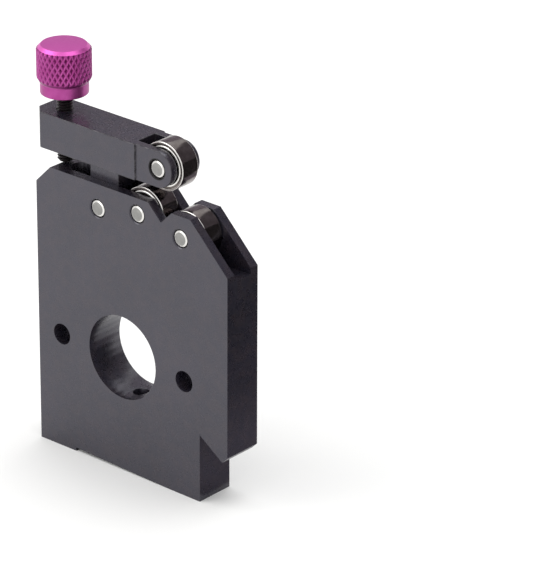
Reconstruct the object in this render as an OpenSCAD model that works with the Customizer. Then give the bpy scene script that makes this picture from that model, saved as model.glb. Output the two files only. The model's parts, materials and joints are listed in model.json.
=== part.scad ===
// Three-roller clamp block: a round workpiece turns on two ball-bearing rollers set in a
// milled slot, under a third roller held down by a screw-adjusted lever arm.
//
// Every module works in plate coordinates: X from the plate's left edge, Z from the plane
// that the base stands on, Y from the plate's mid-thickness. part_frame() then moves the
// piece so that the origin is the axis of the centre bore at mid-thickness.

/* [Plate] */
// Width of the plate, left edge to right edge
plate_w = 63.5; // [62:0.1:66]
// Height of the plate above the plane it stands on
plate_h = 76.2; // [76:0.1:78]
// Thickness of the plate and of the arm
plate_t = 11.1; // [10.6:0.1:12.4]
// Bevel across the top left corner
corner_bevel = 4.8; // [2:0.1:6]
// Height of the shoulder to the right of the notch
shoulder_z = 75.5; // [75:0.1:75.9]
// Bevel across the top right corner, below the shoulder
shoulder_bevel = 12; // [10:0.1:13]
// Depth of the 90 degree workpiece notch below the plate's top edge
notch_depth = 4.2; // [3:0.1:4.8]
// Notch centre from the plate's left edge
notch_x = 41.9; // [41.5:0.1:42.5]

/* [Base] */
// Width of the foot, left edge to the hook's vertical face
foot_w = 54.4; // [53:0.1:56]
// Height of the inner corner of the undercut hook
hook_h = 18.5; // [17:0.1:20]
// Slope of the hook's ceiling below the horizontal, in degrees
hook_slope = 35; // [25:1:38]
// Bevel on the tip of the hook
hook_tip = 1.7; // [0.5:0.1:2.2]
// Width of the flat pad under the left edge
pad_w = 12.2; // [8:0.1:16]
// Height of the step where the base relief starts, beside the pad
relief_step = 0.95; // [0.4:0.05:1.5]
// Distance from the left edge at which the sloping relief runs out
relief_end = 46; // [40:1:50]

/* [Holes] */
// Diameter of the centre bore
bore_d = 22.4; // [20:0.1:24]
// Centre bore axis from the plate's left edge
bore_x = 28.6; // [28:0.1:29.5]
// Centre bore axis above the base
bore_z = 31.5; // [31:0.05:33]
// Diameter of the two side holes
side_hole_d = 5.6; // [4:0.1:6.4]
// Spacing of the two side holes, centre to centre
side_hole_span = 41.3; // [38:0.1:43]
// Diameter of the upright screw hole between the base and the bore
base_hole_d = 4.2; // [3:0.1:5]
// Offset of the upright screw hole to the right of the bore axis
base_hole_dx = 1.2; // [0:0.1:2]

/* [Rollers] */
// Diameter of the dowel pins and of the bearings' bores
pin_d = 4.76; // [4.5:0.01:4.9]
// Outside diameter of the bearings
bearing_d = 12.7; // [12.6:0.05:12.9]
// Width of a bearing's outer ring
bearing_w = 5.6; // [5.4:0.05:5.7]
// Balls in one bearing
ball_count = 7; // [5:1:7]
// Diameter of one ball
ball_d = 2.38; // [2:0.02:2.4]
// Width of the slot that the rollers run in
slot_w = 6; // [6:0.05:6.4]
// Depth of the slot below the plate's top edge
slot_depth = 14.4; // [14:0.1:15]
// Lower left roller axis, across and up
left_axis = [34, 71.9];
// Lower right roller axis, across and up
right_axis = [48.2, 69.5];

/* [Arm] */
// Pivot axis of the arm, across and up
pivot_axis = [20.8, 69.6];
// Axis of the roller in the arm, across and up
arm_axis = [40.4, 85.5];
// Height of the arm
arm_h = 9.5; // [9:0.1:9.8]
// How far the arm's left end stands past the plate's left edge
arm_overhang = 1.15; // [0:0.05:2]
// Upright bevels on the arm's left corners
arm_bevel = 2.75; // [1:0.05:3.5]
// Where the fork's ears begin, from the plate's left edge
ear_x = 33.4; // [33:0.1:33.9]
// How far the ears' faces are set back from the arm's faces
ear_setback = 0.4; // [0.2:0.05:0.8]
// Half width and tip radius of the tongue that hangs in the slot
tongue_r = 4.75; // [4:0.05:5]

/* [Screw] */
// Screw axis from the plate's left edge
screw_x = 4.95; // [4.6:0.05:5.5]
// Outside diameter of the adjusting stud
stud_d = 4.16; // [3.9:0.02:4.3]
// Diameter of the knob over its knurling
knob_d = 13.8; // [13:0.1:15]
// Diameter of the knob's plain collar
collar_d = 12.2; // [11:0.1:12.5]
// Gap between the arm's top and the knob's collar
knob_gap = 4.5; // [4:0.1:6]
// Height of the knob
knob_h = 12.7; // [12:0.1:14]

/* [Hidden] */
$fn = 96;
eps = 0.01;
cut = 1; // how far a cutting shape runs past the surface it opens
press_r = pin_d / 2; // a pressed pin and its hole share one radius
running_gap = 0.03; // radial clearance of a turning or sliding fit
side_gap = 0.07; // clearance each side of the tongue in the slot
tip_gap = 0.1; // stud tip above the plate with the arm level
slot_end_x = 7.6; // left end of the slot, just clear of the stud
fork_end_x = 32.4; // closed end of the arm's fork
pin_short = 0.05; // each pin end below the face it comes out of
pin_bevel = 0.35; // bevel on a pin's ends
hole_rim = 0.25; // edge break round each pin hole
edge_break = 0.3; // bevel on the bearing rings' corners
tip_r = 4; // radius of the stud's domed end
stud_in_knob = 8; // engagement of the stud in the knob
collar_h = 2.9; // height of the knob's plain collar
knurl_lead = 1.4; // height of the cone between collar and knurling
knob_bevel = 1.15; // bevel round the knob's top

half_t = plate_t / 2;
notch_z = plate_h - notch_depth;
bearing_r = bearing_d / 2;
pitch_r = 4.42; // radius of the circle that the balls' centres lie on
inner_land_r = 3.5; // outside radius of the inner ring
outer_land_r = 5.3; // inside radius of the outer ring
inner_ring_w = slot_w - 0.1; // the inner ring spans the slot
ball_gap = 0.03; // clearance round each ball in its groove and pocket
cage_w = 3; // width of the cage
cage_land_gap = 0.2; // clearance between the cage and either ring
seat_r = 5.7; // radius of the shield's seat in the outer ring
seat_depth = 0.6; // depth of that seat
shield_t = 0.25; // thickness of the shield's sheet
shield_rim_t = 0.5; // height of the shield's turned-up rim
shield_gap = 0.12; // clearance between the shield and the inner ring

arm_bottom = arm_axis[1] - arm_h / 2;
arm_top = arm_axis[1] + arm_h / 2;
stud_tip_z = plate_h + tip_gap;
knob_z = arm_top + knob_gap;
stud_top_z = knob_z + stud_in_knob;
hook_reach = plate_w - hook_tip - foot_w;
hook_tip_z = hook_h - hook_reach * tan(hook_slope);

// Plate coordinates to the part's own frame
module part_frame() {
    translate([-bore_x, 0, -bore_z]) children();
}

// Children drawn about the Z axis, laid along Y at a place across and up
module along_y(place) {
    translate([place[0], 0, place[1]]) rotate([90, 0, 0]) children();
}

// Round hole through the plate's thickness
module cross_hole(place, radius) {
    along_y(place) cylinder(r = radius, h = plate_t + 2 * cut, center = true);
}

// Small bevel round both mouths of a pin hole, for faces at +-face_y
module hole_rims(place, radius, face_y) {
    for (side = [0, 180])
        along_y(place) rotate([side, 0, 0])
            translate([0, 0, face_y - hole_rim])
                cylinder(r1 = radius, r2 = radius + hole_rim + cut, h = hole_rim + cut);
}

module plate_outline() {
    polygon([
        [0, 0],
        [pad_w, 0],
        [pad_w, relief_step],
        [relief_end, 0],
        [foot_w, 0],
        [foot_w, hook_h],
        [plate_w - hook_tip, hook_tip_z],
        [plate_w, hook_tip_z + hook_tip],
        [plate_w, shoulder_z - shoulder_bevel],
        [plate_w - shoulder_bevel, shoulder_z],
        [notch_x + shoulder_z - notch_z, shoulder_z],
        [notch_x, notch_z],
        [notch_x - notch_depth, plate_h],
        [corner_bevel, plate_h],
        [0, plate_h - corner_bevel]
    ]);
}

// Slot milled down from the top edge, round at its closed end
module roller_slot() {
    floor_z = plate_h - slot_depth;
    translate([slot_end_x + slot_w / 2, 0, floor_z])
        cylinder(d = slot_w, h = slot_depth + cut);
    translate([slot_end_x + slot_w / 2, -slot_w / 2, floor_z])
        cube([plate_w, slot_w, slot_depth + cut]);
}

module body_plate() {
    color([0.13, 0.13, 0.14]) part_frame() difference() {
        rotate([90, 0, 0])
            linear_extrude(height = plate_t, center = true) plate_outline();
        roller_slot();
        cross_hole([bore_x, bore_z], bore_d / 2);
        for (side = [-1, 1])
            cross_hole([bore_x + side * side_hole_span / 2, bore_z], side_hole_d / 2);
        for (place = [pivot_axis, left_axis, right_axis]) {
            cross_hole(place, press_r);
            hole_rims(place, press_r, half_t);
        }
        translate([bore_x + base_hole_dx, 0, -cut])
            cylinder(d = base_hole_d, h = bore_z + cut);
    }
}

// Plan of the arm's solid bar, with both left corners bevelled
module bar_plan() {
    left = -arm_overhang;
    polygon([
        [left, -half_t + arm_bevel],
        [left + arm_bevel, -half_t],
        [ear_x, -half_t],
        [ear_x, half_t],
        [left + arm_bevel, half_t],
        [left, half_t - arm_bevel]
    ]);
}

module fork_ears() {
    ear_t = plate_t - 2 * ear_setback;
    translate([ear_x - eps, -ear_t / 2, arm_bottom])
        cube([arm_axis[0] - ear_x + eps, ear_t, arm_h]);
    along_y(arm_axis) cylinder(r = arm_h / 2, h = ear_t, center = true);
}

module tongue() {
    tongue_t = slot_w - 2 * side_gap;
    along_y(pivot_axis) cylinder(r = tongue_r, h = tongue_t, center = true);
    translate([pivot_axis[0] - tongue_r, -tongue_t / 2, pivot_axis[1]])
        cube([2 * tongue_r, tongue_t, arm_bottom - pivot_axis[1] + eps]);
}

module clamp_arm() {
    color([0.14, 0.13, 0.14]) part_frame() difference() {
        union() {
            translate([0, 0, arm_bottom]) linear_extrude(height = arm_h) bar_plan();
            fork_ears();
            tongue();
        }
        translate([fork_end_x, -slot_w / 2, arm_bottom - cut])
            cube([plate_w, slot_w, arm_h + 2 * cut]);
        translate([screw_x, 0, arm_bottom - cut])
            cylinder(r = stud_d / 2 + running_gap, h = arm_h + 2 * cut);
        cross_hole(arm_axis, press_r);
        hole_rims(arm_axis, press_r, half_t - ear_setback);
        cross_hole(pivot_axis, press_r + running_gap);
    }
}

// Dowel pin with bevelled ends, across a part that is span thick
module dowel(place, span) {
    length = span - 2 * pin_short;
    color([0.72, 0.71, 0.68]) part_frame() along_y(place) union() {
        cylinder(r = press_r, h = length - 2 * pin_bevel, center = true);
        for (side = [0, 180])
            rotate([side, 0, 0]) translate([0, 0, length / 2 - pin_bevel])
                cylinder(r1 = press_r, r2 = press_r - pin_bevel, h = pin_bevel);
    }
}

module pivot_pin() dowel(pivot_axis, plate_t);
module left_axle_pin() dowel(left_axis, plate_t);
module right_axle_pin() dowel(right_axis, plate_t);
module arm_axle_pin() dowel(arm_axis, plate_t - 2 * ear_setback);

// Ring with bevelled outer corners
module ring_blank(r_outer, width) {
    rotate_extrude() polygon([
        [0, -width / 2],
        [r_outer - edge_break, -width / 2],
        [r_outer, -width / 2 + edge_break],
        [r_outer, width / 2 - edge_break],
        [r_outer - edge_break, width / 2],
        [0, width / 2]
    ]);
}

module ball_groove() {
    rotate_extrude() translate([pitch_r, 0]) circle(r = ball_d / 2 + ball_gap);
}

module outer_ring(place) {
    color([0.45, 0.44, 0.43]) part_frame() along_y(place) difference() {
        ring_blank(bearing_r, bearing_w);
        cylinder(r = outer_land_r, h = bearing_w + 2 * cut, center = true);
        ball_groove();
        for (side = [0, 180])
            rotate([side, 0, 0]) translate([0, 0, bearing_w / 2 - seat_depth])
                cylinder(r = seat_r, h = seat_depth + cut);
    }
}

module inner_ring(place) {
    color([0.5, 0.5, 0.49]) part_frame() along_y(place) difference() {
        cylinder(r = inner_land_r, h = inner_ring_w, center = true);
        cylinder(r = press_r, h = inner_ring_w + 2 * cut, center = true);
        ball_groove();
    }
}

module at_each_ball() {
    for (i = [0 : ball_count - 1])
        rotate([0, 0, i * 360 / ball_count]) translate([pitch_r, 0, 0]) children();
}

module balls(place) {
    color([0.8, 0.8, 0.8]) part_frame() along_y(place)
        at_each_ball() sphere(d = ball_d);
}

module cage(place) {
    color([0.6, 0.5, 0.3]) part_frame() along_y(place) difference() {
        cylinder(r = outer_land_r - cage_land_gap, h = cage_w, center = true);
        cylinder(r = inner_land_r + cage_land_gap, h = cage_w + 2 * cut, center = true);
        at_each_ball() rotate([0, 90, 0])
            cylinder(r = ball_d / 2 + ball_gap, h = ball_d + cut, center = true);
    }
}

// Pressed shield with a turned-up rim; facing is 1 at the front and -1 at the rear
module shield(place, facing) {
    seat_floor = bearing_w / 2 - seat_depth;
    color([0.35, 0.34, 0.34]) part_frame() along_y(place)
        rotate([facing > 0 ? 0 : 180, 0, 0]) translate([0, 0, seat_floor]) difference() {
            cylinder(r = seat_r, h = shield_rim_t);
            translate([0, 0, -cut])
                cylinder(r = inner_land_r + shield_gap, h = shield_rim_t + 2 * cut);
            translate([0, 0, shield_t])
                cylinder(r = seat_r - shield_t, h = shield_rim_t);
        }
}

module left_outer_ring() outer_ring(left_axis);
module left_inner_ring() inner_ring(left_axis);
module left_balls() balls(left_axis);
module left_cage() cage(left_axis);
module left_front_shield() shield(left_axis, 1);
module left_rear_shield() shield(left_axis, -1);

module right_outer_ring() outer_ring(right_axis);
module right_inner_ring() inner_ring(right_axis);
module right_balls() balls(right_axis);
module right_cage() cage(right_axis);
module right_front_shield() shield(right_axis, 1);
module right_rear_shield() shield(right_axis, -1);

module arm_outer_ring() outer_ring(arm_axis);
module arm_inner_ring() inner_ring(arm_axis);
module arm_balls() balls(arm_axis);
module arm_cage() cage(arm_axis);
module arm_front_shield() shield(arm_axis, 1);
module arm_rear_shield() shield(arm_axis, -1);

// Threaded stud, drawn at its outside diameter, with a domed end
module adjusting_stud() {
    color([0.2, 0.2, 0.2]) part_frame() translate([screw_x, 0, stud_tip_z]) union() {
        intersection() {
            cylinder(d = stud_d, h = tip_r);
            translate([0, 0, tip_r]) sphere(r = tip_r);
        }
        translate([0, 0, tip_r])
            cylinder(d = stud_d, h = stud_top_z - stud_tip_z - tip_r);
    }
}

module thumb_knob() {
    color([0.62, 0.2, 0.5]) part_frame() translate([screw_x, 0, knob_z]) difference() {
        rotate_extrude() polygon([
            [0, 0],
            [collar_d / 2, 0],
            [collar_d / 2, collar_h],
            [knob_d / 2, collar_h + knurl_lead],
            [knob_d / 2, knob_h - knob_bevel],
            [knob_d / 2 - knob_bevel, knob_h],
            [0, knob_h]
        ]);
        translate([0, 0, -cut])
            cylinder(r = stud_d / 2 + running_gap, h = stud_in_knob + cut + running_gap);
    }
}

body_plate();
pivot_pin();
left_axle_pin();
right_axle_pin();
clamp_arm();
arm_axle_pin();
adjusting_stud();
thumb_knob();
left_outer_ring();
left_inner_ring();
left_balls();
left_cage();
left_front_shield();
left_rear_shield();
right_outer_ring();
right_inner_ring();
right_balls();
right_cage();
right_front_shield();
right_rear_shield();
arm_outer_ring();
arm_inner_ring();
arm_balls();
arm_cage();
arm_front_shield();
arm_rear_shield();
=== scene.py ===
import json
import math

import bmesh
import bpy
from mathutils import Matrix, Vector

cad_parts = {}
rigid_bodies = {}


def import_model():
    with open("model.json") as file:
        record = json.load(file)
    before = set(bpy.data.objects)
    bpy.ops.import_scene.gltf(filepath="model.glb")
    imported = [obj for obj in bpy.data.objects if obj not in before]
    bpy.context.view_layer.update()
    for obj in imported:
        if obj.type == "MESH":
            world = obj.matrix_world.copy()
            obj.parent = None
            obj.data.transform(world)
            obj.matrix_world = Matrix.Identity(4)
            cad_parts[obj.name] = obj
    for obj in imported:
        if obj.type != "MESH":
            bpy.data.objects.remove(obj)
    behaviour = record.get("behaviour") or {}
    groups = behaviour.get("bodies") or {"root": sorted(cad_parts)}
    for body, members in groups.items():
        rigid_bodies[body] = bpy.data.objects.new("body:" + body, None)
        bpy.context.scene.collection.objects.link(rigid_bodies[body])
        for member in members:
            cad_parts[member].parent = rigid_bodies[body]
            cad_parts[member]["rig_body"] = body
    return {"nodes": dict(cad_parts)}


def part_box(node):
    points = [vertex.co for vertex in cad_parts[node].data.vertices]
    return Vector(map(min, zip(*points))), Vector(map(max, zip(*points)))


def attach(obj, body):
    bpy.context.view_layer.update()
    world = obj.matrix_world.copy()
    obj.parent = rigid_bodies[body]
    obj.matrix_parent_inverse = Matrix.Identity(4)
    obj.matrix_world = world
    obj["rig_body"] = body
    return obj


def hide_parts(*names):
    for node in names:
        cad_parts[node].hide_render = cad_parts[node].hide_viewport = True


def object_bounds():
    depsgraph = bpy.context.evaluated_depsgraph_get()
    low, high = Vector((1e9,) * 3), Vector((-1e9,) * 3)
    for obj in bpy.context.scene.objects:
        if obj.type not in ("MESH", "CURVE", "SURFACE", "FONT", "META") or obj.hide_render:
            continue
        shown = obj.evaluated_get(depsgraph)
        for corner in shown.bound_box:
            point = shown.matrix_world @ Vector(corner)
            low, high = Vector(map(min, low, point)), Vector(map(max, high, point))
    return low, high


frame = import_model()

cad_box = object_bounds()

MM = 0.001
NODES = frame["nodes"]
SIDES = ("left", "right", "arm")
PINS = ("pivot_pin", "left_axle_pin", "right_axle_pin", "arm_axle_pin")

# Sizes repeated from the part, in millimetres
PIN_D = 4.76
THREAD_PITCH = 0.79375
STUD_TIP_R = 4.0
KNOB_COLLAR_D = 12.2
KNOB_COLLAR_H = 2.9
KNOB_CONE_H = 1.4
KNOB_BEVEL = 1.15
KNOB_TOP_FACE_Z = 11.9
KNOB_HOLE_D = 4.22
KNOB_HOLE_DEPTH = 8.03
RING_BORE_R = 5.3
SHIELD_SEAT_R = 5.7
SHIELD_SEAT_DEPTH = 0.6
SHIELD_HOLE_R = 3.62
SHIELD_SHEET_T = 0.25
SHIELD_RIM_T = 0.5

# Fine detail that only the visual model has, in millimetres
EDGE_BREAK = 0.22
CORNER_R = 0.36
SEAT_CORNER_R = 0.14
BEAD_R = 4.95
BEAD_W = 0.75
BEAD_STEPS = 14
SHIELD_GAP = 0.01
PIN_NOSE_STEP = 0.24
PIN_NOSE_L = 0.8
PIN_BEVEL_W = 0.42
PIN_BEVEL_L = 0.2
PIN_CENTRE_R = 0.55
PIN_CENTRE_EDGE_R = 0.8
PIN_CENTRE_DEPTH = 0.03
PIN_CORNER_R = 0.12
PIN_SHADOW_W = 0.8
RIM_DEPTH = 0.4
RIM_W = 0.46
KNURL_DEPTH = 0.42
KNURL_COUNT = 30
KNURL_HELIX = math.radians(30)
KNURL_STEPS = 16
KNURL_LAND = 0.16
KNURL_PIT = 0.85
KNURL_CREST_W = 0.08
KNURL_START = 0.35
KNOB_CORNER_R = 0.35
THREAD_DEPTH_RATIO = 0.6134
THREAD_CREST = 0.125
THREAD_FLANK = 0.625
THREAD_AROUND = 72
THREAD_ROWS = 12

# A radius in millimetres below which a point of an outline is on the axis
ON_AXIS = 1e-6

# Segments round a turned piece, and the sharp edge angles of its kinds of surface, in degrees
LATHE_SEGMENTS = 144
SHARP_ANGLE = 32
THREAD_SHARP_ANGLE = 40
KNOB_SHARP_ANGLE = 24

# Places of the colour sockets on a Mix node, which shares its socket names between data types
COLOUR_A, COLOUR_B, COLOUR_RESULT = 6, 7, 2

# The camera: where it stands, in metres, and where it points
CAMERA_PLACE = (0.62742, -0.67623, 0.43991)
CAMERA_AZIMUTH = 40.695
CAMERA_ELEVATION = 24.654
CAMERA_ROLL = 0.355
CAMERA_LENS = 253.8
SENSOR_WIDTH = 36

# The lamps: name, place, aim, size in metres, power in watts, colour
LAMPS = (
    ("key", (-0.42, -0.38, 0.62), (0, 0, 0.01), (0.55, 0.55), 2.2, (1.0, 0.99, 0.97)),
    ("front", (-0.25, -0.75, 0.18), (0, 0, 0.0), (0.6, 0.4), 0.6, (1, 1, 1)),
    ("top", (0.05, 0.15, 0.75), (0, 0, 0), (0.5, 0.35), 1.5, (1, 1, 1)),
)
WORLD_STRENGTH = 1.02
FLOOR_SIZE = (6, 6)

# The cards show only in reflections. They stand for the second unit and the dark surroundings
# of the photo. Two stand behind the part, and two lie on or rise from the floor beside it.
BACK_PLACE = (0.19, 0.29, 0.22)
FAR_PLACE = (-0.38, 0.41, 0.27)
FLOOR_CARD_LIFT = 0.0002
SIDE_CARD_LIFT = 0.05


# ---------------------------------------------------------------- materials

class Shader:
    """A node material with a Principled shader, textured in the object's own coordinates."""

    def __init__(self, name, **sockets):
        self.material = bpy.data.materials.new(name)
        self.material.use_nodes = True
        self.nodes = self.material.node_tree.nodes
        self.links = self.material.node_tree.links
        self.principled = self.nodes["Principled BSDF"]
        self.place = self.nodes.new("ShaderNodeTexCoord").outputs["Object"]
        for socket, value in sockets.items():
            self.principled.inputs[socket.replace("_", " ")].default_value = value

    def stretch(self, scale):
        mapping = self.nodes.new("ShaderNodeMapping")
        mapping.inputs["Scale"].default_value = scale
        self.links.new(self.place, mapping.inputs["Vector"])
        return mapping.outputs["Vector"]

    def noise(self, per_metre, detail=4.0, vector=None):
        texture = self.nodes.new("ShaderNodeTexNoise")
        texture.inputs["Scale"].default_value = per_metre
        texture.inputs["Detail"].default_value = detail
        self.links.new(vector or self.place, texture.inputs["Vector"])
        return texture.outputs["Fac"]

    def ramp(self, factor, stops):
        node = self.nodes.new("ShaderNodeValToRGB")
        elements = node.color_ramp.elements
        while len(elements) < len(stops):
            elements.new(0.5)
        for element, (position, colour) in zip(elements, stops):
            element.position = position
            element.color = (*colour, 1)
        self.links.new(factor, node.inputs["Fac"])
        return node.outputs["Color"]

    def span(self, factor, low, high, from_low=0.3, from_high=0.7):
        node = self.nodes.new("ShaderNodeMapRange")
        node.inputs["From Min"].default_value = from_low
        node.inputs["From Max"].default_value = from_high
        node.inputs["To Min"].default_value = low
        node.inputs["To Max"].default_value = high
        self.links.new(factor, node.inputs["Value"])
        return node.outputs["Result"]

    def mix(self, factor, first, second):
        node = self.nodes.new("ShaderNodeMix")
        node.data_type = "RGBA"
        node.blend_type = "MIX"
        self.feed(node.inputs["Factor"], factor)
        self.feed(node.inputs[COLOUR_A], first)
        self.feed(node.inputs[COLOUR_B], second)
        return node.outputs[COLOUR_RESULT]

    def math(self, operation, first, second):
        node = self.nodes.new("ShaderNodeMath")
        node.operation = operation
        self.feed(node.inputs[0], first)
        self.feed(node.inputs[1], second)
        return node.outputs[0]

    def axes(self):
        node = self.nodes.new("ShaderNodeSeparateXYZ")
        self.links.new(self.place, node.inputs["Vector"])
        return node.outputs["X"], node.outputs["Y"], node.outputs["Z"]

    def reach(self, first, second):
        """Distance from the origin in the plane of two coordinates."""
        squares = [self.math("MULTIPLY", value, value) for value in (first, second)]
        return self.math("SQRT", self.math("ADD", *squares), 0.0)

    def near_axis(self, centre, radius_mm):
        """1 within a radius of an axis that runs along Y through centre, 0 outside it."""
        x, _, z = self.axes()
        away = self.reach(self.math("SUBTRACT", x, centre.x), self.math("SUBTRACT", z, centre.z))
        return self.math("LESS_THAN", away, radius_mm * MM)

    def feed(self, socket, value):
        if isinstance(value, bpy.types.NodeSocket):
            self.links.new(value, socket)
        elif isinstance(value, tuple):
            socket.default_value = (*value, 1)
        else:
            socket.default_value = value

    def add_bump(self, height, depth_mm, strength=1.0, under=None):
        node = self.nodes.new("ShaderNodeBump")
        node.inputs["Strength"].default_value = strength
        node.inputs["Distance"].default_value = depth_mm * MM
        self.links.new(height, node.inputs["Height"])
        if under:
            self.links.new(under, node.inputs["Normal"])
        return node.outputs["Normal"]

    def finish(self, color=None, roughness=None, normal=None):
        for socket, value in (("Base Color", color), ("Roughness", roughness), ("Normal", normal)):
            if value is not None:
                self.feed(self.principled.inputs[socket], value)
        return self.material


def black_anodise():
    """Semi-gloss black anodise: cloudy tint, grain of the blasted surface, faint milling marks."""
    s = Shader("black_anodise", Metallic=0.0, IOR=1.5)
    s.principled.inputs["Specular IOR Level"].default_value = 0.9
    s.principled.inputs["Specular Tint"].default_value = (0.90, 0.88, 1.0, 1)
    cloud = s.ramp(s.noise(70, 3),
                   [(0.35, (0.009, 0.007, 0.012)), (0.68, (0.018, 0.014, 0.022))])
    tint = s.ramp(s.noise(420, 2),
                  [(0.42, (0.008, 0.009, 0.016)), (0.62, (0.020, 0.015, 0.018))])
    speck = s.ramp(s.noise(5200, 2), [(0.62, (0, 0, 0)), (0.78, (0.12, 0.12, 0.12))])
    color = s.mix(0.45, cloud, tint)
    color = s.mix(speck, color, (0.07, 0.068, 0.07))
    roughness = s.span(s.noise(900, 4), 0.25, 0.33)
    grain = s.add_bump(s.noise(3600, 2), 0.004, 0.5)
    milled = s.noise(900, 1, s.stretch((0.06, 1.0, 2.4)))
    return s.finish(color, roughness, s.add_bump(milled, 0.002, 0.4, grain))


def anodise_edge():
    """The same anodise, lighter along a broken edge: partly rubbed thin with a little bare metal
    through it, partly a painted highlight. Painted shade darkens it round each pin.
    """
    s = Shader("black_anodise_edge_wear_and_painted_light", Metallic=0.35)
    # The lighter tone along the edges is partly wear and partly a painted highlight.
    edge_wear_and_painted_light = s.ramp(s.noise(650, 5), [(0.38, (0.022, 0.020, 0.026)), (0.66, (0.085, 0.08, 0.09))])
    # Painted shade: near black on the edge faces within a ring round each pin, where the gap round
    # the pin lies in shade.
    for pin in PINS:
        ring = s.near_axis(node_centre(pin), PIN_D / 2 + PIN_SHADOW_W)
        edge_wear_and_painted_light = s.mix(ring, edge_wear_and_painted_light, (0.004, 0.003, 0.004))
    roughness = s.span(s.noise(2400, 3), 0.24, 0.42)
    return s.finish(edge_wear_and_painted_light, roughness, s.add_bump(s.noise(5200, 2), 0.01, 0.4))


def purple_anodise(deep_r, crest_r):
    """Purple anodise over turned aluminium, with painted shade darkening the knurling towards the
    bottom of its pits and painted light on the top face.
    """
    s = Shader("purple_anodise", Metallic=0.78)
    cloud = s.ramp(s.noise(330, 4), [(0.35, (0.33, 0.042, 0.215)), (0.7, (0.41, 0.07, 0.285))])
    x, y, z = s.axes()
    # Painted shade: the knurling darkens towards the bottom of its pits.
    depth = s.span(s.reach(x, y), 1.0, 0.0, deep_r * MM, crest_r * MM)
    knurled = s.math("LESS_THAN", z, KNOB_TOP_FACE_Z * MM)
    above_collar = s.math("GREATER_THAN", z, (KNOB_COLLAR_H + KNURL_START) * MM)
    knurled = s.math("MULTIPLY", knurled, above_collar)
    pit = s.math("MULTIPLY", knurled, depth)
    color = s.mix(pit, cloud, (0.15, 0.007, 0.095))
    # Painted light: the top face is much lighter than the knob's sides.
    top_face_painted_light = s.math("GREATER_THAN", z, KNOB_TOP_FACE_Z * MM)
    color = s.mix(top_face_painted_light, color, (0.64, 0.105, 0.44))
    turned = s.noise(2600, 2, s.stretch((0.25, 0.25, 2.2)))
    grain = s.add_bump(s.noise(5200, 2), 0.008, 0.4)
    roughness = s.span(s.noise(1500, 4), 0.3, 0.42)
    return s.finish(color, roughness, s.add_bump(turned, 0.005, 0.4, grain))


def steel(name, low, high, rough_low, rough_high, stretch=(1, 1, 1), depth=0.004):
    """Bare steel: cloudy tone, with grinding marks drawn out by stretch."""
    s = Shader(name, Metallic=1.0)
    tone = s.ramp(s.noise(520, 4), [(0.3, low), (0.7, high)])
    marks = s.noise(4200, 4, s.stretch(stretch))
    return s.finish(tone, s.span(marks, rough_low, rough_high), s.add_bump(marks, depth, 0.5))


def black_oxide():
    """Oiled black oxide on the stud, browner and a little brighter in random patches."""
    s = Shader("black_oxide", Metallic=0.55)
    tone = s.ramp(s.noise(800, 4), [(0.35, (0.008, 0.006, 0.007)), (0.7, (0.03, 0.024, 0.025))])
    roughness = s.span(s.noise(3000, 3), 0.26, 0.42)
    return s.finish(tone, roughness, s.add_bump(s.noise(7000, 2), 0.006, 0.5))


def floor_paper():
    s = Shader("floor_paper", Metallic=0.0)
    s.principled.inputs["Specular IOR Level"].default_value = 0.2
    tone = s.ramp(s.noise(6, 2), [(0.3, (0.83, 0.83, 0.825)), (0.7, (0.86, 0.86, 0.855))])
    roughness = s.span(s.noise(300, 3), 0.7, 0.85)
    return s.finish(tone, roughness, s.add_bump(s.noise(1800, 3), 0.02, 0.2))


# ---------------------------------------------------------------- mesh building

def shade(mesh, sharp_degrees):
    for polygon in mesh.polygons:
        polygon.use_smooth = True
    mesh.set_sharp_from_angle(angle=math.radians(sharp_degrees))


def object_from(name, bm, origin, materials, sharp_degrees=SHARP_ANGLE):
    """Mesh object from bm, whose points are millimetres about origin, in metres."""
    bmesh.ops.recalc_face_normals(bm, faces=bm.faces)
    bmesh.ops.scale(bm, vec=(MM, MM, MM), verts=bm.verts)
    mesh = bpy.data.meshes.new(name)
    bm.to_mesh(mesh)
    bm.free()
    shade(mesh, sharp_degrees)
    for material in materials:
        mesh.materials.append(material)
    piece = bpy.data.objects.new(name, mesh)
    piece.location = origin
    bpy.context.scene.collection.objects.link(piece)
    return piece


def fillet(points, radius, steps=4, closed=False):
    """The outline with each of its corners turned into an arc. Corners on the axis stay sharp."""
    out = []
    count = len(points)
    for i, point in enumerate(points):
        ends = not closed and i in (0, count - 1)
        here = Vector(point)
        before = Vector(points[i - 1]) - here
        after = Vector(points[(i + 1) % count]) - here
        if ends or point[0] < ON_AXIS:
            out.append(point)
            continue
        half = before.angle(after) / 2
        reach = min(radius / math.tan(half), before.length * 0.45, after.length * 0.45)
        if reach < 1e-4 or half > math.radians(88):
            out.append(point)
            continue
        first = here + before.normalized() * reach
        last = here + after.normalized() * reach
        for k in range(steps + 1):
            t = k / steps
            arc = first * (1 - t) ** 2 + here * 2 * t * (1 - t) + last * t ** 2
            out.append((arc.x, arc.y))
    return out


def lathe(points, along_y, segments=LATHE_SEGMENTS, closed=False):
    """Solid turned from (radius, distance along the axis) points, about Y or Z."""
    bm = bmesh.new()
    rings = []
    for radius, along in points:
        count = 1 if radius < ON_AXIS else segments
        ring = []
        for i in range(count):
            turn = 2 * math.pi * i / segments
            across, up = radius * math.cos(turn), radius * math.sin(turn)
            ring.append(bm.verts.new((across, along, up) if along_y else (across, up, along)))
        rings.append(ring)
    pairs = list(zip(rings, rings[1:]))
    if closed:
        pairs.append((rings[-1], rings[0]))
    for low, high in pairs:
        for i in range(segments):
            j = (i + 1) % segments
            corners = [low[i % len(low)], low[j % len(low)],
                       high[j % len(high)], high[i % len(high)]]
            corners = list(dict.fromkeys(corners))
            if len(corners) > 2:
                bm.faces.new(corners)
    return bm


def node_centre(node):
    low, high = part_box(node)
    return (low + high) / 2


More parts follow.
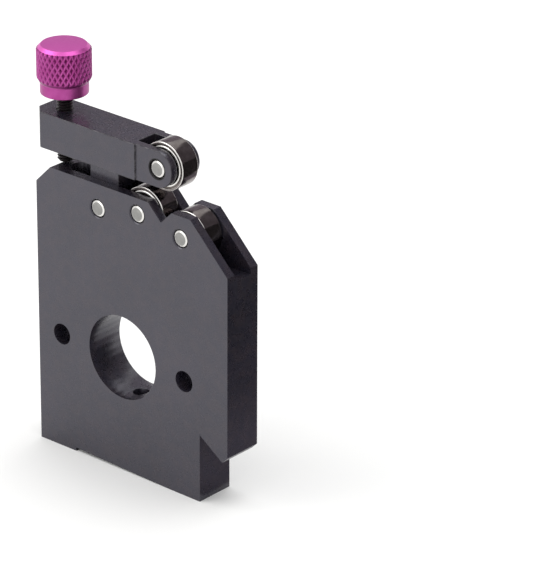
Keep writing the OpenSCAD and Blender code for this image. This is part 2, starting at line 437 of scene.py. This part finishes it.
def node_size(node):
    low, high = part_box(node)
    return (high - low) / MM


def stand_for(piece, node):
    """The piece takes a CAD node's place, on the node's body, and the node is hidden."""
    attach(piece, NODES[node]["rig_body"])
    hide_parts(node)
    return piece


# ---------------------------------------------------------------- pieces

def finish_cad_node(node, *materials):
    mesh = NODES[node].data
    mesh.materials.clear()
    for material in materials:
        mesh.materials.append(material)


def break_edges(node):
    """Small bevel on every edge of a milled part, which catches the light as the real edge does."""
    piece = NODES[node]
    weld = piece.modifiers.new("weld", "WELD")
    weld.merge_threshold = 1e-6
    flats = piece.modifiers.new("flats", "DECIMATE")
    flats.decimate_type = "DISSOLVE"
    flats.angle_limit = math.radians(0.5)
    bevel = piece.modifiers.new("edge_break", "BEVEL")
    bevel.width = EDGE_BREAK * MM
    bevel.segments = 2
    bevel.limit_method = "ANGLE"
    bevel.angle_limit = math.radians(28)
    bevel.use_clamp_overlap = True
    bevel.harden_normals = True
    # The bevel's faces take the edge material, lighter partly from wear and partly as a painted
    # highlight.
    bevel.material = 1


def outer_ring(side, face, edge):
    """Bearing outer ring: rounded corners, bore land and shield seats. It has no ball groove, so
    the balls cut into it behind the shields."""
    node = f"{side}_outer_ring"
    size = node_size(node)
    r, half = size.x / 2, size.y / 2
    seat = half - SHIELD_SEAT_DEPTH
    corners = [(r, -half), (r, half), (SHIELD_SEAT_R, half), (SHIELD_SEAT_R, seat),
               (RING_BORE_R, seat), (RING_BORE_R, -seat), (SHIELD_SEAT_R, -seat),
               (SHIELD_SEAT_R, -half)]
    outline = []
    for i, corner in enumerate(corners):
        trio = [corners[i - 1], corner, corners[(i + 1) % len(corners)]]
        outline += fillet(trio, CORNER_R if i < 2 else SEAT_CORNER_R, 5)[1:-1]
    bm = lathe(outline, True, closed=True)
    bmesh.ops.recalc_face_normals(bm, faces=bm.faces)
    # Painted shade and highlight: the turned outside and the flat ends take the dark copy of the
    # steel, the rounded corners, seats and bore the bright copy.
    for polygon in bm.faces:
        middle = polygon.calc_center_median()
        outside = math.hypot(middle.x, middle.z) > r * 0.985
        flat_end = abs(polygon.normal.y) > 0.99
        turned = outside and abs(polygon.normal.y) < 0.12
        polygon.material_index = 1 if turned or flat_end else 0
    piece = object_from(f"{side}_roller_ring", bm, node_centre(node), [edge, face])
    return stand_for(piece, node)


def shield(side, end, sheet, bright):
    """Pressed shield: a flat washer with a rounded bead rolled in it. The flat takes the dark
    steel, painted shade, and the bead the bright steel, a painted highlight.
    """
    node = f"{side}_{end}_shield"
    facing = -1 if end == "front" else 1
    low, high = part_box(node)
    floor = (high.y if end == "front" else low.y)
    rim = SHIELD_SEAT_R - SHIELD_GAP
    bead = []
    for k in range(BEAD_STEPS + 1):
        turn = math.pi * k / BEAD_STEPS
        rise = SHIELD_SHEET_T + (SHIELD_RIM_T - SHIELD_SHEET_T) * math.sin(turn)
        bead.append((BEAD_R + BEAD_W / 2 * math.cos(turn), rise))
    corners = [(SHIELD_HOLE_R, 0), (rim, 0), (rim, SHIELD_SHEET_T), *bead,
               (SHIELD_HOLE_R, SHIELD_SHEET_T)]
    outline = [(r, facing * a) for r, a in corners]
    centre = node_centre(node)
    bm = lathe(outline, True, closed=True)
    # Painted shade on the flat and painted highlight on the bead, by material.
    for polygon in bm.faces:
        on_bead = abs(polygon.calc_center_median().y) > SHIELD_SHEET_T + 0.02
        polygon.material_index = 1 if on_bead else 0
    place = (centre.x, floor, centre.z)
    piece = object_from(f"{side}_{end}_shield_pressed", bm, place, [sheet, bright])
    return stand_for(piece, node)


def dowel(node, face, rim):
    """Ground dowel. Each end has a turned-down nose, a bevel and a shallow turned centre."""
    size = node_size(node)
    r, half = PIN_D / 2, size.y / 2
    nose = r - PIN_NOSE_STEP
    one_end = [(0, half - PIN_CENTRE_DEPTH), (PIN_CENTRE_R, half - PIN_CENTRE_DEPTH),
               (PIN_CENTRE_EDGE_R, half), (nose - PIN_BEVEL_W, half), (nose, half - PIN_BEVEL_L),
               (nose, half - PIN_NOSE_L), (r, half - PIN_NOSE_L - PIN_NOSE_STEP)]
    corners = one_end + [(radius, -along) for radius, along in reversed(one_end)]
    bm = lathe(fillet(corners, PIN_CORNER_R, 4), True)
    bmesh.ops.recalc_face_normals(bm, faces=bm.faces)
    # Painted highlight: the rim round each nose takes the bright steel, the rest the ground steel.
    for polygon in bm.faces:
        middle = polygon.calc_center_median()
        near_end = abs(middle.y) > half - RIM_DEPTH
        on_rim = near_end and math.hypot(middle.x, middle.z) > nose - RIM_W
        polygon.material_index = 1 if on_rim else 0
    piece = object_from(f"{node}_ground", bm, node_centre(node), [face, rim])
    return stand_for(piece, node)


def stud(material):
    """Adjusting stud with its real helical thread, ending in a dome."""
    low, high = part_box("adjusting_stud")
    length = (high.z - low.z) / MM
    major = (high.x - low.x) / MM / 2
    depth = THREAD_DEPTH_RATIO * THREAD_PITCH
    around, rows = THREAD_AROUND, THREAD_ROWS

    def dome(z):
        below = max(0.0, STUD_TIP_R - z)
        return math.sqrt(max(0.0, STUD_TIP_R ** 2 - below ** 2))

    bm = bmesh.new()
    total = int(length / THREAD_PITCH * rows) + 2 * rows
    grid = []
    for j in range(-rows, total):
        crest = abs(2 * ((j / rows) % 1) - 1)
        cut = min(1.0, max(0.0, (crest - THREAD_CREST) / THREAD_FLANK))
        column = []
        for i in range(around):
            turn = 2 * math.pi * i / around
            z = (j + rows * i / around) * THREAD_PITCH / rows
            inside = 0.0 < z < length
            radius = min(major - depth * cut, dome(z)) if inside else 0.0
            z = min(max(z, 0.0), length)
            column.append(bm.verts.new((radius * math.cos(turn), radius * math.sin(turn), z)))
        grid.append(column)
    for j in range(len(grid) - rows - 1):
        for i in range(around - 1):
            bm.faces.new((grid[j][i], grid[j][i + 1], grid[j + 1][i + 1], grid[j + 1][i]))
        bm.faces.new((grid[j][-1], grid[j + rows][0], grid[j + rows + 1][0], grid[j + 1][-1]))
    bmesh.ops.remove_doubles(bm, verts=bm.verts, dist=1e-5)
    bmesh.ops.delete(bm, geom=[v for v in bm.verts if not v.link_faces], context="VERTS")
    centre = node_centre("adjusting_stud")
    base = (centre.x, centre.y, low.z)
    piece = object_from("adjusting_stud_threaded", bm, base, [material], THREAD_SHARP_ANGLE)
    return stand_for(piece, "adjusting_stud")


def knob(material):
    """Thumb knob: plain collar, cone, band of diamond knurling pressed as pits, bevelled top."""
    low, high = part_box("thumb_knob")
    r, tall = (high.x - low.x) / MM / 2, (high.z - low.z) / MM
    collar_r, hole_r = KNOB_COLLAR_D / 2, KNOB_HOLE_D / 2
    around = KNURL_COUNT * KNURL_STEPS
    row = 2 * math.pi * r / around / math.tan(KNURL_HELIX)

    def outside(z):
        """Radius of the knob's plain outline at height z, above the collar."""
        cone = collar_r + (z - KNOB_COLLAR_H) / KNOB_CONE_H * (r - collar_r)
        top = r - (z - (tall - KNOB_BEVEL))
        return min(r, cone, top)

    def pit(i, j):
        """Depth of the knurling, from 0 on its ridges to 1 in the middle of a pit."""
        first = (i + j) % KNURL_STEPS
        second = (i - j) % KNURL_STEPS
        near = min(first, KNURL_STEPS - first, second, KNURL_STEPS - second) * 2 / KNURL_STEPS
        return min(1.0, max(0.0, (near - KNURL_LAND) / (KNURL_PIT - KNURL_LAND)))

    rings = []
    below = [(0.0, KNOB_HOLE_DEPTH), (hole_r, KNOB_HOLE_DEPTH), (hole_r, 0.0), (collar_r, 0.0),
             (collar_r, KNOB_COLLAR_H - 0.02)]
    for radius, z in fillet(below, KNOB_CORNER_R, 5):
        rings.append((z, [radius] * (1 if radius < ON_AXIS else around)))
    z, j = KNOB_COLLAR_H, 0
    while z < tall - 0.05:
        deep = r - KNURL_DEPTH
        cut = [deep + KNURL_DEPTH * (1 - pit(i, j)) for i in range(around)]
        rings.append((z, [min(outside(z), radius) for radius in cut]))
        z, j = z + row, j + 1
    top_r = r - KNOB_BEVEL
    for radius, z in ((top_r + 0.02, tall - 0.02), (top_r - 0.12, tall), (0.0, tall)):
        rings.append((z, [radius] * (1 if radius < ON_AXIS else around)))

    bm = bmesh.new()
    loops = []
    for z, radii in rings:
        turns = [2 * math.pi * i / around for i in range(len(radii))]
        points = [(a * math.cos(t), a * math.sin(t), z) for a, t in zip(radii, turns)]
        loops.append([bm.verts.new(point) for point in points])
    for under, over in zip(loops, loops[1:]):
        for i in range(around):
            k = (i + 1) % around
            corners = [under[i % len(under)], under[k % len(under)],
                       over[k % len(over)], over[i % len(over)]]
            corners = list(dict.fromkeys(corners))
            if len(corners) > 2:
                bm.faces.new(corners)
    centre = node_centre("thumb_knob")
    base = (centre.x, centre.y, low.z)
    piece = object_from("thumb_knob_knurled", bm, base, [material], KNOB_SHARP_ANGLE)
    return stand_for(piece, "thumb_knob")


# ---------------------------------------------------------------- stage

def camera():
    az, el, roll = (math.radians(a) for a in (CAMERA_AZIMUTH, CAMERA_ELEVATION, CAMERA_ROLL))
    level = Vector((math.cos(az), math.sin(az), 0))
    ahead = Vector((-math.sin(az) * math.cos(el), math.cos(az) * math.cos(el), -math.sin(el)))
    above = level.cross(ahead)
    right = level * math.cos(roll) + above * math.sin(roll)
    up = above * math.cos(roll) - level * math.sin(roll)
    data = bpy.data.cameras.new("camera")
    data.lens = CAMERA_LENS
    data.sensor_width = SENSOR_WIDTH
    data.clip_start = 0.01
    placed = bpy.data.objects.new("camera", data)
    turn = Matrix((right, up, -ahead)).transposed().to_4x4()
    placed.matrix_world = Matrix.Translation(Vector(CAMERA_PLACE)) @ turn
    bpy.context.scene.collection.objects.link(placed)
    bpy.context.scene.camera = placed


def panel(name, centre, size, facing, material):
    """Flat rectangle, used for the floor and for the cards round the part."""
    mesh = bpy.data.meshes.new(name)
    w, h = size[0] / 2, size[1] / 2
    mesh.from_pydata([(-w, -h, 0), (w, -h, 0), (w, h, 0), (-w, h, 0)], [], [(0, 1, 2, 3)])
    mesh.materials.append(material)
    placed = bpy.data.objects.new(name, mesh)
    placed.location = centre
    placed.rotation_euler = Vector(facing).to_track_quat("Z", "Y").to_euler()
    bpy.context.scene.collection.objects.link(placed)
    return placed


def area_light(name, place, aim, size, watts, colour):
    data = bpy.data.lights.new(name, "AREA")
    data.shape = "RECTANGLE"
    data.size, data.size_y = size
    data.energy = watts
    data.color = colour
    lamp = bpy.data.objects.new(name, data)
    lamp.location = place
    lamp.rotation_euler = (Vector(aim) - Vector(place)).to_track_quat("-Z", "Y").to_euler()
    bpy.context.scene.collection.objects.link(lamp)


def card(name, tone, centre, size, facing):
    """Card that only shows in reflections, a little uneven in tone."""
    paper = Shader(name)
    shades = [(0.3, (tone * 0.9, tone * 0.8, tone * 0.95)), (0.7, (tone, tone * 0.88, tone))]
    material = paper.finish(paper.ramp(paper.noise(40), shades), 0.8)
    placed = panel(name, centre, size, facing, material)
    placed.visible_camera = False
    placed.visible_shadow = False
    placed.visible_diffuse = False


def studio():
    """Pale floor, four cards, three soft lamps and an even white surround."""
    floor_z = cad_box[0][2]
    panel("floor", (0, 0, floor_z), FLOOR_SIZE, (0, 0, 1), floor_paper())
    back, far = Vector(BACK_PLACE), Vector(FAR_PLACE)
    on_floor = (0.050, 0.052, floor_z + FLOOR_CARD_LIFT)
    beside = (0.072, 0.052, floor_z + SIDE_CARD_LIFT)
    card("card_floor", 0.24, on_floor, (0.046, 0.11), (0, 0, 1))
    card("card_side", 0.02, beside, (0.11, 0.1), (-1, 0, 0))
    card("card_far", 0.34, far, (0.52, 0.34), -far)
    card("card_back", 0.16, back, (0.42, 0.36), -back)
    for lamp in LAMPS:
        area_light(*lamp)
    world = bpy.data.worlds.new("studio")
    world.use_nodes = True
    background = world.node_tree.nodes["Background"]
    background.inputs["Color"].default_value = (1, 1, 1, 1)
    background.inputs["Strength"].default_value = WORLD_STRENGTH
    bpy.context.scene.world = world
    bpy.context.scene.view_settings.view_transform = "Standard"


# ---------------------------------------------------------------- build

camera()

anodise = black_anodise()
edge = anodise_edge()
for milled_node in ("body_plate", "clamp_arm"):
    finish_cad_node(milled_node, anodise, edge)
    break_edges(milled_node)

ground = steel("ground_steel", (0.25, 0.247, 0.24), (0.32, 0.317, 0.305), 0.42, 0.54)
# Bright copy of the bearing steel: real polish on the balls, a painted highlight on ring corners,
# shield beads and pin rims.
polished_and_painted_highlight = steel("bearing_steel_polished_and_painted_highlight", (0.68, 0.665, 0.64), (0.8, 0.785, 0.76),
                 0.14, 0.24, (1, 0.1, 1))
raceway = steel("bearing_steel", (0.5, 0.5, 0.49), (0.6, 0.6, 0.59), 0.18, 0.28)
# Dark copy of the bearing steel on the ring's outside and ends: painted shade.
ring_face_painted_shade = steel("bearing_steel_face_painted_shade", (0.15, 0.13, 0.125), (0.23, 0.205, 0.2),
                     0.1, 0.2, (1, 0.08, 1))
# Dark steel on the shields' flats: painted shade.
shield_sheet_painted_shade = steel("shield_steel", (0.10, 0.085, 0.08), (0.17, 0.15, 0.14), 0.24, 0.36)
brass = steel("cage_brass", (0.55, 0.4, 0.17), (0.68, 0.52, 0.26), 0.3, 0.42)

for pin_node in PINS:
    dowel(pin_node, ground, polished_and_painted_highlight)
for side_name in SIDES:
    outer_ring(side_name, ring_face_painted_shade, polished_and_painted_highlight)
    shield(side_name, "front", shield_sheet_painted_shade, polished_and_painted_highlight)
    shield(side_name, "rear", shield_sheet_painted_shade, polished_and_painted_highlight)
    finish_cad_node(f"{side_name}_inner_ring", raceway)
    finish_cad_node(f"{side_name}_balls", polished_and_painted_highlight)
    finish_cad_node(f"{side_name}_cage", brass)

stud(black_oxide())
knob_r = node_size("thumb_knob").x / 2
knob(purple_anodise(knob_r - KNURL_DEPTH, knob_r - KNURL_CREST_W))

studio()
